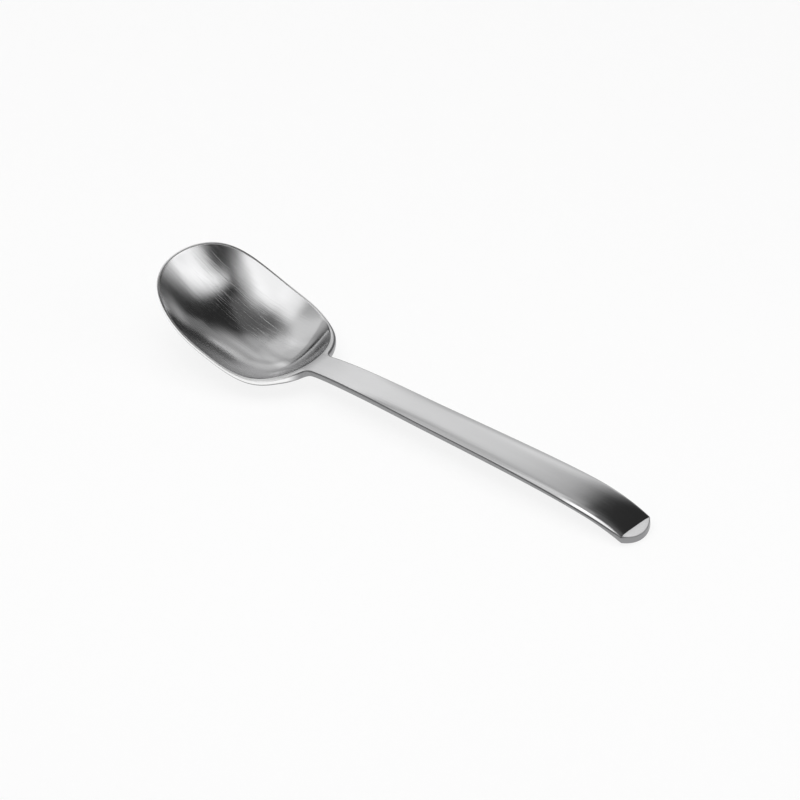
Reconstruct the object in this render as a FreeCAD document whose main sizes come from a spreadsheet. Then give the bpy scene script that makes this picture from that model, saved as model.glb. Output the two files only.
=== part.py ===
import FreeCAD, Part
import math
import os

import Sketcher
from FreeCAD import Vector

# A stamped dinner spoon in one piece of brushed stainless steel, lying as it rests on a table:
# the belly of the bowl and the toe at the handle's end touch the plane Z = 0.
# While it is built, X runs from 0 at the tip of the bowl to its full length at the handle's end.
# Y is across the spoon, which is the same on both sides. All lengths are millimetres.

# Driving dimensions
SIZES = [
    # Whole spoon
    ("overall_length", 200.0),
    # Edge of the cavity, seen from above: two half superellipses that meet at its widest station
    ("cavity_front_length", 33.6),
    ("cavity_back_length", 24.0),
    ("cavity_half_width", 21.75),
    ("front_roundness", 3.5),
    ("back_roundness", 2.4),
    ("side_roundness", 2.0),
    ("cavity_depth", 8.5),
    # Wall of the bowl: the flat land around the cavity, and the steel below it
    ("rim_land", 0.6),
    ("back_land", 2.7),
    ("rim_edge_thickness", 1.0),
    ("floor_thickness", 1.2),
    # Heights along the middle of the top. Those of the rim are at stations from the tip
    ("tip_height", 26.0),
    ("fore_rim_station", 9.0),
    ("fore_rim_height", 22.7),
    ("upper_rim_station", 18.0),
    ("upper_rim_height", 17.85),
    ("middle_rim_station", 28.0),
    ("middle_rim_height", 13.65),
    ("lower_rim_station", 40.0),
    ("lower_rim_height", 10.05),
    # The heel lies before the back edge of the cavity, the neck and the handle's root behind it
    ("heel_setback", 8.2),
    ("heel_height", 8.0),
    ("neck_setback", 1.8),
    ("neck_height", 9.1),
    ("root_setback", 16.8),
    ("root_height", 10.15),
    # Heights of the handle, at the root, at two stations that divide it evenly, and near its end
    ("inner_handle_height", 10.3),
    ("outer_handle_height", 10.0),
    ("bend_length", 32.0),
    ("bend_start_height", 9.1),
    ("half_bend_length", 18.0),
    ("half_bend_height", 7.8),
    ("bevel_length", 2.8),
    ("ridge_height", 3.95),
    # Strip of the handle, widest near its end
    ("neck_half_width", 5.0),
    ("end_taper_length", 28.0),
    ("widest_half_width", 7.85),
    ("corner_half_width", 7.2),
    ("neck_fillet", 2.5),
    ("neck_thickness", 1.8),
    ("handle_thickness", 2.1),
    ("crown_growth_length", 40.0),
    ("edge_drop", 0.5),
    # End of the handle: the toe on its underside and the bevel on its top
    ("toe_length", 16.0),
    ("toe_depth", 0.8),
    ("bevel_angle", 31.0),
    # Height over which the bowl's back blends into the underside of the handle
    ("heel_blend", 2.5),
    # Block that the spoon is cut from
    ("blank_depth", 4.0),
    ("blank_height", 40.0),
]


def make_sheet(doc):
    """Write the driving dimensions into a spreadsheet and return it."""
    sheet = doc.addObject("Spreadsheet::Sheet", "Sizes")
    for row, (alias, value) in enumerate(SIZES, start=1):
        sheet.set("A{}".format(row), alias)
        sheet.set("B{}".format(row), str(value))
        sheet.setAlias("B{}".format(row), alias)
    doc.recompute()
    return sheet


doc = FreeCAD.newDocument("DinnerSpoon")
sizes = make_sheet(doc)

# How far the forms that cut the blank reach past it, and how finely they are drawn
OVERHANG = 4.0
HANDLE_OVERHANG = 1.5
GRID_STEP = 4.0
HANDLE_GRID_STEP = 5.0
GRID_COLUMNS = 12
OUTLINE_POINTS = 36

# Stations worked out from the driving dimensions
BOWL_WIDEST = sizes.rim_land + sizes.cavity_front_length
CAVITY_END = BOWL_WIDEST + sizes.cavity_back_length
HEEL = CAVITY_END - sizes.heel_setback
NECK = CAVITY_END + sizes.neck_setback
ROOT = CAVITY_END + sizes.root_setback
BEND_START = sizes.overall_length - sizes.bend_length
HALF_BEND = sizes.overall_length - sizes.half_bend_length
RIDGE = sizes.overall_length - sizes.bevel_length
WIDEST = sizes.overall_length - sizes.end_taper_length
TOE_START = sizes.overall_length - sizes.toe_length


def origin_plane(body, role):
    """Return one of a body's own origin planes."""
    return next(f for f in body.Origin.OriginFeatures if f.Role == role)


def smooth_step(value, start, end):
    """Rise from 0 at start to 1 at end, level at both."""
    share = min(max((value - start) / (end - start), 0.0), 1.0)
    return share * share * (3.0 - 2.0 * share)


def smooth_min(first, second, blend):
    """Return the lower of two heights, with their corner filled over the blend height."""
    overlap = max(blend - abs(first - second), 0.0) / blend
    return min(first, second) - overlap * overlap * blend / 4.0


# Side view
# The line along the middle of the spoon's top: the rim of the bowl, then the handle.
PROFILE_STATIONS = [
    (0.0, sizes.tip_height),
    (sizes.fore_rim_station, sizes.fore_rim_height),
    (sizes.upper_rim_station, sizes.upper_rim_height),
    (sizes.middle_rim_station, sizes.middle_rim_height),
    (sizes.lower_rim_station, sizes.lower_rim_height),
    (HEEL, sizes.heel_height),
    (NECK, sizes.neck_height),
    (ROOT, sizes.root_height),
    ((2.0 * ROOT + BEND_START) / 3.0, sizes.inner_handle_height),
    ((ROOT + 2.0 * BEND_START) / 3.0, sizes.outer_handle_height),
    (BEND_START, sizes.bend_start_height),
    (HALF_BEND, sizes.half_bend_height),
    (RIDGE, sizes.ridge_height),
]
profile_curve = Part.BSplineCurve()
profile_curve.interpolate(
    Points=[Vector(x, 0.0, z) for x, z in PROFILE_STATIONS],
    Parameters=[x for x, z in PROFILE_STATIONS],
)
FIRST_SLOPE = profile_curve.tangent(0.0)[0]
LAST_SLOPE = profile_curve.tangent(RIDGE)[0]


def profile_height(x):
    """Height of the middle of the top at a station, running on straight past both ends."""
    if x < 0.0:
        return sizes.tip_height + x * FIRST_SLOPE.z / FIRST_SLOPE.x
    if x > RIDGE:
        return sizes.ridge_height + (x - RIDGE) * LAST_SLOPE.z / LAST_SLOPE.x
    return profile_curve.value(x).z


def handle_half_width(x):
    """Half the width of the handle's straight taper at a station."""
    taper = (sizes.widest_half_width - sizes.neck_half_width) / (
        WIDEST - HEEL
    )
    return sizes.neck_half_width + (min(x, WIDEST) - HEEL) * taper


def top_height(x, y):
    """Height of the top: flat across at the rim, and rolled down to the edges of the handle."""
    crown = smooth_step(x, ROOT, ROOT + sizes.crown_growth_length)
    if crown == 0.0:
        return profile_height(x)
    return profile_height(x) - crown * sizes.edge_drop * (y / handle_half_width(x)) ** 4


def bevel_height(x, y):
    """Height of the bevel, which meets the top in a ridge straight across the handle."""
    fall = (x - RIDGE) * math.tan(math.radians(sizes.bevel_angle))
    return top_height(RIDGE, y) - fall


def handle_thickness(x):
    """Thickness of the handle's strip, which grows from the neck and has a toe at its end."""
    growth = smooth_step(x, ROOT, ROOT + sizes.crown_growth_length)
    thickness = sizes.neck_thickness + (sizes.handle_thickness - sizes.neck_thickness) * growth
    beyond = max(x - TOE_START, 0.0)
    toe = beyond / sizes.toe_length
    return thickness + sizes.toe_depth * toe * toe


# Plan of the bowl
def bowl_measure(x, y, land, rear_land):
    """Return 1 on the bowl's outline, widened by a land, and less inside it."""
    along = x - BOWL_WIDEST
    if along < 0.0:
        length, power = sizes.cavity_front_length + land, sizes.front_roundness
    else:
        length, power = sizes.cavity_back_length + rear_land, sizes.back_roundness
    across = abs(y) / (sizes.cavity_half_width + land)
    return (abs(along) / length) ** power + across ** sizes.side_roundness


def outline_point(angle, land, rear_land):
    """Find the point of the widened outline that lies in a direction from the bowl's middle."""
    inner, outer = 0.0, 2.0 * (sizes.cavity_front_length + sizes.cavity_half_width)
    while outer - inner > 1e-7:
        reach = (inner + outer) / 2.0
        x = BOWL_WIDEST + reach * math.cos(angle)
        if bowl_measure(x, reach * math.sin(angle), land, rear_land) < 1.0:
            inner = reach
        else:
            outer = reach
    return Vector(x, reach * math.sin(angle), -sizes.blank_depth)


# Heights of the bowl
def cavity_height(x, y):
    """Height of the inside of the bowl, which meets the rim at the cavity's outline."""
    return profile_height(x) - sizes.cavity_depth * (1.0 - bowl_measure(x, y, 0.0, 0.0))


def under_height(x, y):
    """Height of the underside: the outside of the bowl, blended into the handle's underside."""
    thickening = smooth_step(x, BOWL_WIDEST, CAVITY_END)
    edge = sizes.rim_edge_thickness
    edge += (sizes.neck_thickness - sizes.rim_edge_thickness) * thickening
    belly = sizes.cavity_depth + sizes.floor_thickness - edge
    share = bowl_measure(x, y, sizes.rim_land, sizes.back_land)
    bowl = profile_height(x) - edge - belly * (1.0 - share)
    lift = max(NECK - x, 0.0) ** 2 / (NECK - HEEL)
    handle = profile_height(x) - handle_thickness(x) + lift
    return smooth_min(bowl, handle, sizes.heel_blend)


def stations(start, end, step):
    """Return evenly spaced stations from start to end, no further apart than step."""
    count = math.ceil((end - start) / step)
    return [start + (end - start) * i / count for i in range(count + 1)]


def bowl_half_span(x):
    """Half the width of a form that covers the bowl."""
    return sizes.cavity_half_width + sizes.rim_land + OVERHANG


def spoon_half_span(x):
    """Half the width of a form that covers the bowl and narrows to cover the handle."""
    narrowing = smooth_step(x, HEEL, ROOT)
    handle_span = handle_half_width(x) + HANDLE_OVERHANG
    return bowl_half_span(x) + (handle_span - bowl_half_span(x)) * narrowing


def form(name, height, half_span, xs, direction):
    """Make the solid that lies above or below a smooth surface through a grid of heights."""
    rows = []
    for x in xs:
        ys = [half_span(x) * (2.0 * i / GRID_COLUMNS - 1.0) for i in range(GRID_COLUMNS + 1)]
        rows.append([Vector(x, y, height(x, y)) for y in ys])
    surface = Part.BSplineSurface()
    surface.interpolate(rows)
    made = doc.addObject("Part::Feature", name)
    made.Shape = surface.toShape().extrude(Vector(0, 0, direction * 2.0 * sizes.blank_height))
    return made


# Plan of the handle
def arc_between(start, middle, end):
    """Return the arc from start through middle to end, which turns anticlockwise."""
    drawn = Part.Circle(start, middle, end)
    circle = Part.Circle(drawn.Center, Vector(0, 0, 1), drawn.Radius)
    return Part.ArcOfCircle(circle, circle.parameter(start), circle.parameter(end))


def mirrored(point):
    """Return a point's mirror image on the other side of the spoon."""
    return Vector(point.x, -point.y, 0)


def handle_blank():
    """Sketch the handle's outline and pad it as high as the blank."""
    body = doc.addObject("PartDesign::Body", "HandleBlank")
    sketch = body.newObject("Sketcher::SketchObject", "HandleOutline")
    sketch.AttachmentSupport = [(origin_plane(body, "XY_Plane"), "")]
    sketch.MapMode = "FlatFace"
    sketch.setExpression("AttachmentOffset.Base.z", "-Sizes.blank_depth")

    root = Vector(HEEL, sizes.neck_half_width, 0)
    wide = Vector(WIDEST, sizes.widest_half_width, 0)
    corner = Vector(RIDGE, sizes.corner_half_width, 0)
    end = Vector(sizes.overall_length, 0, 0)
    along = (wide - root).normalize()
    chord = (corner - wide).normalize()
    turn = math.atan2(along.y, along.x) - math.atan2(chord.y, chord.x)
    swell = (wide + corner) / 2.0
    swell.y += (corner - wide).Length / 2.0 * math.tan(turn / 2.0)

    lower_side = sketch.addGeometry(Part.LineSegment(mirrored(root), mirrored(wide)))
    lower_arc = sketch.addGeometry(arc_between(mirrored(wide), mirrored(swell), mirrored(corner)))
    end_arc = sketch.addGeometry(arc_between(mirrored(corner), end, corner))
    upper_arc = sketch.addGeometry(arc_between(corner, swell, wide))
    upper_side = sketch.addGeometry(Part.LineSegment(wide, root))
    closing = sketch.addGeometry(Part.LineSegment(root, mirrored(root)))

    rules = [
        ("Tangent", lower_side, 2, lower_arc, 1),
        ("Coincident", lower_arc, 2, end_arc, 1),
        ("Coincident", end_arc, 2, upper_arc, 1),
        ("Tangent", upper_arc, 2, upper_side, 1),
        ("Coincident", upper_side, 2, closing, 1),
        ("Coincident", closing, 2, lower_side, 1),
        ("Symmetric", upper_side, 2, lower_side, 1, -1),
        ("Symmetric", upper_side, 1, lower_side, 2, -1),
        ("Symmetric", end_arc, 2, end_arc, 1, -1),
    ]
    for rule in rules:
        sketch.addConstraint(Sketcher.Constraint(*rule))

    heel_at = "Sizes.rim_land + Sizes.cavity_front_length + Sizes.cavity_back_length - Sizes.heel_setback"
    wide_at = "Sizes.overall_length - Sizes.end_taper_length"
    corner_at = "Sizes.overall_length - Sizes.bevel_length"
    driven = [
        ("root_x", ("DistanceX", -1, 1, upper_side, 2, root.x), heel_at),
        ("root_y", ("DistanceY", -1, 1, upper_side, 2, root.y), "Sizes.neck_half_width"),
        ("wide_x", ("DistanceX", -1, 1, upper_side, 1, wide.x), wide_at),
        ("wide_y", ("DistanceY", -1, 1, upper_side, 1, wide.y), "Sizes.widest_half_width"),
        ("corner_x", ("DistanceX", -1, 1, end_arc, 2, corner.x), corner_at),
        ("corner_y", ("DistanceY", -1, 1, end_arc, 2, corner.y), "Sizes.corner_half_width"),
        (
            "end_radius",
            ("Radius", end_arc, sketch.Geometry[end_arc].Radius),
            "(Sizes.corner_half_width ^ 2 + Sizes.bevel_length ^ 2) / (2 * Sizes.bevel_length)",
        ),
    ]
    for name, rule, expression in driven:
        index = sketch.addConstraint(Sketcher.Constraint(*rule))
        sketch.renameConstraint(index, name)
        sketch.setExpression("Constraints." + name, expression)

    pad = body.newObject("PartDesign::Pad", "HandlePad")
    pad.Profile = sketch
    pad.setExpression("Length", "Sizes.blank_height")
    return body


def bowl_blank():
    """Raise the bowl's outline, which is wider than the cavity by the land of the rim."""
    turns = [2.0 * math.pi * i / OUTLINE_POINTS for i in range(OUTLINE_POINTS)]
    outline = Part.BSplineCurve()
    outline.interpolate(
        Points=[outline_point(turn, sizes.rim_land, sizes.back_land) for turn in turns],
        PeriodicFlag=True,
    )
    made = doc.addObject("Part::Feature", "BowlBlank")
    face = Part.Face(Part.Wire(outline.toShape()))
    made.Shape = face.extrude(Vector(0, 0, sizes.blank_height))
    return made


def is_neck_corner(edge):
    """Tell whether an edge is one of the two upright corners between the bowl and the handle."""
    ends = [vertex.Point for vertex in edge.Vertexes]
    if len(ends) != 2 or (ends[0] - ends[1]).Length < sizes.blank_height / 2.0:
        return False
    upright = abs(ends[0].x - ends[1].x) < 1e-4 and abs(ends[0].y - ends[1].y) < 1e-4
    near_neck = HEEL < ends[0].x < ROOT
    return upright and near_neck and abs(ends[0].y) > sizes.neck_half_width / 2.0


def flared_blank():
    """Join the blanks of the bowl and the handle and round the two corners of the neck."""
    blank = doc.addObject("Part::MultiFuse", "Blank")
    blank.Shapes = [bowl_blank(), handle_blank()]
    blank.Refine = True
    doc.recompute()
    flared = doc.addObject("Part::Fillet", "NeckFlare")
    flared.Base = blank
    flared.Edges = [
        (number, sizes.neck_fillet, sizes.neck_fillet)
        for number, edge in enumerate(blank.Shape.Edges, start=1)
        if is_neck_corner(edge)
    ]
    return flared


def cut(name, base, tool):
    """Cut one object out of another."""
    made = doc.addObject("Part::Cut", name)
    made.Base = base
    made.Tool = tool
    return made


def spoon():
    """Cut the spoon out of its blank by the forms of its top, underside, bevel and cavity."""
    along = stations(-OVERHANG, ROOT, GRID_STEP)
    along += stations(ROOT, sizes.overall_length + OVERHANG, HANDLE_GRID_STEP)[1:]
    at_cavity = stations(-OVERHANG, CAVITY_END + OVERHANG, GRID_STEP)
    at_end = stations(TOE_START, sizes.overall_length + OVERHANG, HANDLE_GRID_STEP)

    topped = cut("TopCut", flared_blank(), form("AboveTop", top_height, spoon_half_span, along, 1))
    below = form("BelowUnderside", under_height, spoon_half_span, along, -1)
    sheet_metal = cut("UndersideCut", topped, below)
    beveled = cut("BevelCut", sheet_metal, form("AboveBevel", bevel_height, spoon_half_span, at_end, 1))
    hollow = form("InsideBowl", cavity_height, bowl_half_span, at_cavity, 1)
    made = cut("Spoon", beveled, hollow)
    made.Label = "spoon"
    made.Placement.Base.x = -sizes.overall_length / 2.0
    return made


def check(made):
    """Stop when a feature failed or the finished piece isn't one valid solid."""
    doc.recompute()
    failed = [o.Name for o in doc.Objects if {"Invalid", "Error"} & set(o.State)]
    if failed:
        raise RuntimeError("failed: " + ", ".join(failed))
    shape = made.Shape
    if shape.isNull() or not shape.isValid() or len(shape.Solids) != 1:
        raise RuntimeError("not one valid solid: " + made.Label)


piece = spoon()
check(piece)
os.makedirs("parts", exist_ok=True)
piece.Shape.exportStep("parts/{}.step".format(piece.Label))
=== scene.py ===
"""Dresses the dinner spoon: one stamped and brushed piece of stainless steel on a pale floor.

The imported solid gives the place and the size. This script models the same spoon again with finer
faces, eased edges and a brushed finish, and sets up the studio and the camera around it.
"""

from __future__ import annotations

import logging
import math
from dataclasses import dataclass, field
from enum import Enum
from typing import Callable

import bmesh
import bpy
import numpy as np
from mathutils import Matrix, Vector

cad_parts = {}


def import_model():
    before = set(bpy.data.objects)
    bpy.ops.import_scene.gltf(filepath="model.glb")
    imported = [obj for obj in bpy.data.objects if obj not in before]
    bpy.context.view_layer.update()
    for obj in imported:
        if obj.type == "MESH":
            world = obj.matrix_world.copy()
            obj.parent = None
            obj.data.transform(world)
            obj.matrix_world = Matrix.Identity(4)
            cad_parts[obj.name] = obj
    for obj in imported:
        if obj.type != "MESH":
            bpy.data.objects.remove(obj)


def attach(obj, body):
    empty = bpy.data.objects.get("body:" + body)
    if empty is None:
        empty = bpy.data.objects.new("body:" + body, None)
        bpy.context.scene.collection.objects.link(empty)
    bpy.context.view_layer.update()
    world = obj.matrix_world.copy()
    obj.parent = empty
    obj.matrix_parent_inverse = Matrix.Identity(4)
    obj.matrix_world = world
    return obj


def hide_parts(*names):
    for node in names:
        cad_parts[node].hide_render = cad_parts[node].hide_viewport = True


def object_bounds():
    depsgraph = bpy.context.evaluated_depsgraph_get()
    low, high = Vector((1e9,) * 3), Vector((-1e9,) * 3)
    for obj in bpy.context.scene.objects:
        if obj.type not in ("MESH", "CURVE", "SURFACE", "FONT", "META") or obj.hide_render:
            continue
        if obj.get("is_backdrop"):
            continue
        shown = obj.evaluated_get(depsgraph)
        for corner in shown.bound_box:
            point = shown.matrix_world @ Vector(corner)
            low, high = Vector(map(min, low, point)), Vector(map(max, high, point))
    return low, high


LOG = logging.getLogger("dinner_spoon")

# The length in metres that one unit of the UV map stands for.
MAP_SIZE = 0.2


class Skin(Enum):
    """The two faces of the stamped sheet."""

    TOP = 0
    UNDERSIDE = 1


class Finish(Enum):
    """The material slots of the spoon."""

    BRUSHED = 0
    RIM = 1
    BEVEL = 2


class Band(Enum):
    """The lines of the spoon along which its edges are eased."""

    CAVITY = "cavity edge"
    UPPER = "upper rim edge"
    LOWER = "lower rim edge"


# ---------------------------------------------------------------------------------------------
# The form
# ---------------------------------------------------------------------------------------------


@dataclass
class SideProfile:
    """The top's line seen from the side: smooth through its stations, straight beyond them."""

    stations: tuple[tuple[float, float], ...]
    slopes: np.ndarray = field(init=False)

    def __post_init__(self) -> None:
        """Works out the slope at each station."""
        x, z = np.array(self.stations).T
        gap = np.diff(x)
        rise = np.diff(z) / gap
        count = len(x)
        matrix = np.zeros((count, count))
        right = np.zeros(count)
        matrix[0, 0] = matrix[-1, -1] = 1.0
        right[0] = self.end_slope(self.stations[:4], x[0])
        right[-1] = self.end_slope(self.stations[-4:], x[-1])
        for i in range(1, count - 1):
            matrix[i, i - 1] = 1 / gap[i - 1]
            matrix[i, i] = 2 / gap[i - 1] + 2 / gap[i]
            matrix[i, i + 1] = 1 / gap[i]
            right[i] = 3 * (rise[i - 1] / gap[i - 1] + rise[i] / gap[i])
        self.slopes = np.linalg.solve(matrix, right)

    @staticmethod
    def end_slope(points: tuple[tuple[float, float], ...], at: float) -> float:
        """Gives the slope that the line has at an end.

        Args:
            points: The four stations nearest to that end.
            at: The station of the end itself.

        Returns:
            The slope of the cubic through those stations.
        """
        x, z = np.array(points).T
        curve = np.polyfit(x - at, z, 3)
        return float(curve[2])

    def height(self, x: np.ndarray) -> np.ndarray:
        """Gives the height of the line.

        Args:
            x: Distances from the tip.

        Returns:
            The height at each of them.
        """
        knots, heights = np.array(self.stations).T
        inside = np.clip(x, knots[0], knots[-1])
        part = np.clip(np.searchsorted(knots, inside, side="right") - 1, 0, len(knots) - 2)
        gap = knots[part + 1] - knots[part]
        t = (inside - knots[part]) / gap
        curve = (
            heights[part] * (1 + 2 * t) * (1 - t) ** 2
            + heights[part + 1] * t * t * (3 - 2 * t)
            + gap * self.slopes[part] * t * (1 - t) ** 2
            + gap * self.slopes[part + 1] * t * t * (t - 1)
        )
        before = np.minimum(x - knots[0], 0) * self.slopes[0]
        after = np.maximum(x - knots[-1], 0) * self.slopes[-1]
        return curve + before + after


def smooth_step(value: np.ndarray, start: float, end: float) -> np.ndarray:
    """Rises from 0 at start to 1 at end, level at both.

    Args:
        value: Where it is read.
        start: The last place where it is 0.
        end: The first place where it is 1.

    Returns:
        The share risen at each value.
    """
    t = np.clip((value - start) / (end - start), 0, 1)
    return t * t * (3 - 2 * t)


def smooth_min(first: np.ndarray, second: np.ndarray, blend: float) -> np.ndarray:
    """Gives the lower of two heights, with the crease between them rounded.

    Args:
        first: One height.
        second: The other height.
        blend: The difference in height over which they blend.

    Returns:
        The blended height.
    """
    overlap = np.maximum(blend - np.abs(first - second), 0) / blend
    return np.minimum(first, second) - overlap**2 * blend / 4


@dataclass
class SpoonForm:
    """The spoon's shape as heights over its plan, in metres from the tip of the bowl."""

    overall_length: float = 0.2
    cavity_front_length: float = 0.0336
    cavity_back_length: float = 0.024
    cavity_half_width: float = 0.02175
    front_roundness: float = 3.5
    back_roundness: float = 2.4
    side_roundness: float = 2.0
    cavity_depth: float = 0.0085
    rim_land: float = 0.0006
    back_land: float = 0.0027
    rim_edge_thickness: float = 0.001
    floor_thickness: float = 0.0012
    front_stations: tuple[tuple[float, float], ...] = (
        (0.0, 0.026),
        (0.009, 0.0227),
        (0.018, 0.01785),
        (0.028, 0.01365),
        (0.04, 0.01005),
    )
    heel_setback: float = 0.0082
    heel_height: float = 0.008
    neck_setback: float = 0.0018
    neck_height: float = 0.0091
    root_setback: float = 0.0168
    root_height: float = 0.01015
    inner_handle_height: float = 0.0103
    outer_handle_height: float = 0.01
    bend_length: float = 0.032
    bend_start_height: float = 0.0091
    half_bend_length: float = 0.018
    half_bend_height: float = 0.0078
    bevel_length: float = 0.0028
    ridge_height: float = 0.00395
    neck_half_width: float = 0.005
    end_taper_length: float = 0.028
    widest_half_width: float = 0.00785
    corner_half_width: float = 0.0072
    neck_fillet: float = 0.0025
    neck_thickness: float = 0.0018
    handle_thickness: float = 0.0021
    crown_growth_length: float = 0.04
    edge_drop: float = 0.0005
    toe_length: float = 0.016
    toe_depth: float = 0.0008
    bevel_angle: float = 31.0
    heel_blend: float = 0.0025
    roll_width: float = 0.0015
    roll_depth: float = 0.0006
    roll_power: float = 1.4
    roll_growth_length: float = 0.03
    roll_full_setback: float = 0.006
    roll_fade_length: float = 0.004
    profile: SideProfile = field(init=False)

    def __post_init__(self) -> None:
        """Places the stations and draws the side profile through them."""
        self.bowl_widest = self.rim_land + self.cavity_front_length
        self.cavity_end = self.bowl_widest + self.cavity_back_length
        self.heel = self.cavity_end - self.heel_setback
        self.neck = self.cavity_end + self.neck_setback
        self.root = self.cavity_end + self.root_setback
        self.bend_start = self.overall_length - self.bend_length
        self.half_bend = self.overall_length - self.half_bend_length
        self.ridge = self.overall_length - self.bevel_length
        self.widest = self.overall_length - self.end_taper_length
        self.toe_start = self.overall_length - self.toe_length
        self.profile = SideProfile(
            (
                *self.front_stations,
                (self.heel, self.heel_height),
                (self.neck, self.neck_height),
                (self.root, self.root_height),
                ((2 * self.root + self.bend_start) / 3, self.inner_handle_height),
                ((self.root + 2 * self.bend_start) / 3, self.outer_handle_height),
                (self.bend_start, self.bend_start_height),
                (self.half_bend, self.half_bend_height),
                (self.ridge, self.ridge_height),
            )
        )

    def side_slope(self) -> float:
        """Gives how fast the handle's half width grows towards its end."""
        return (self.widest_half_width - self.neck_half_width) / (self.widest - self.heel)

    def handle_half_width(self, x: np.ndarray) -> np.ndarray:
        """Gives the half width of the handle's straight part."""
        return self.neck_half_width + (np.minimum(x, self.widest) - self.heel) * self.side_slope()

    def top_height(self, x: np.ndarray, y: np.ndarray) -> np.ndarray:
        """Gives the height of the land and of the handle's top.

        The handle's top falls a little towards both sides, and rolls down to the near edge at the
        bend.

        Args:
            x: Distances from the tip.
            y: Distances from the middle plane.

        Returns:
            The heights.
        """
        crown = smooth_step(x, self.root, self.root + self.crown_growth_length)
        half_width = self.handle_half_width(x)
        drop = self.edge_drop * (y / half_width) ** 4
        inset = np.maximum(np.abs(y) - half_width + self.roll_width, 0) / self.roll_width
        roll_start = self.bend_start - self.roll_growth_length
        growth = smooth_step(x, roll_start, self.half_bend - self.roll_full_setback)
        growth = growth - smooth_step(x, self.ridge - self.roll_fade_length, self.ridge)
        roll = np.where(y < 0, self.roll_depth, 0.0) * inset**self.roll_power
        return self.profile.height(x) - crown * drop - growth * roll

    def bevel_height(self, x: np.ndarray, y: np.ndarray) -> np.ndarray:
        """Gives the height of the bevel at the handle's end.

        Args:
            x: Distances from the tip.
            y: Distances from the middle plane.

        Returns:
            The heights.
        """
        ridge = self.top_height(np.full_like(x, self.ridge), y)
        return ridge - (x - self.ridge) * math.tan(math.radians(self.bevel_angle))

    def bowl_measure(
        self, x: np.ndarray, y: np.ndarray, land: float, rear_land: float
    ) -> np.ndarray:
        """Tells how far out a point lies in the bowl: 0 at its middle and 1 on its outline.

        Args:
            x: Distances from the tip.
            y: Distances from the middle plane.
            land: How far the outline stands outside the cavity at the front and sides.
            rear_land: How far it stands outside the cavity at the back.

        Returns:
            The measures.
        """
        along = x - self.bowl_widest
        front, back = self.cavity_front_length + land, self.cavity_back_length + rear_land
        reach = np.where(along < 0, front, back)
        power = np.where(along < 0, self.front_roundness, self.back_roundness)
        across = np.abs(y) / (self.cavity_half_width + land)
        return (np.abs(along) / reach) ** power + across**self.side_roundness

    def cavity_height(self, x: np.ndarray, y: np.ndarray) -> np.ndarray:
        """Gives the height of the cavity's surface."""
        return self.profile.height(x) - self.cavity_depth * (1 - self.bowl_measure(x, y, 0, 0))

    def under_height(self, x: np.ndarray, y: np.ndarray) -> np.ndarray:
        """Gives the height of the underside, from the bowl's back over the heel to the toe.

        Args:
            x: Distances from the tip.
            y: Distances from the middle plane.

        Returns:
            The heights.
        """
        top = self.profile.height(x)
        growth = smooth_step(x, self.bowl_widest, self.cavity_end)
        edge = self.rim_edge_thickness + (self.neck_thickness - self.rim_edge_thickness) * growth
        belly = self.cavity_depth + self.floor_thickness - edge
        bowl = top - edge - belly * (1 - self.bowl_measure(x, y, self.rim_land, self.back_land))
        lift = np.maximum(self.neck - x, 0) ** 2 / (self.neck - self.heel)
        handle = top - self.handle_depth(x) + lift
        return smooth_min(bowl, handle, self.heel_blend)

    def handle_depth(self, x: np.ndarray) -> np.ndarray:
        """Gives the thickness of the handle, which grows at the toe.

        Args:
            x: Distances from the tip.

        Returns:
            The thicknesses.
        """
        growth = smooth_step(x, self.root, self.root + self.crown_growth_length)
        toe = np.maximum(x - self.toe_start, 0) / self.toe_length
        step = self.handle_thickness - self.neck_thickness
        return self.neck_thickness + step * growth + self.toe_depth * toe**2


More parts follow.
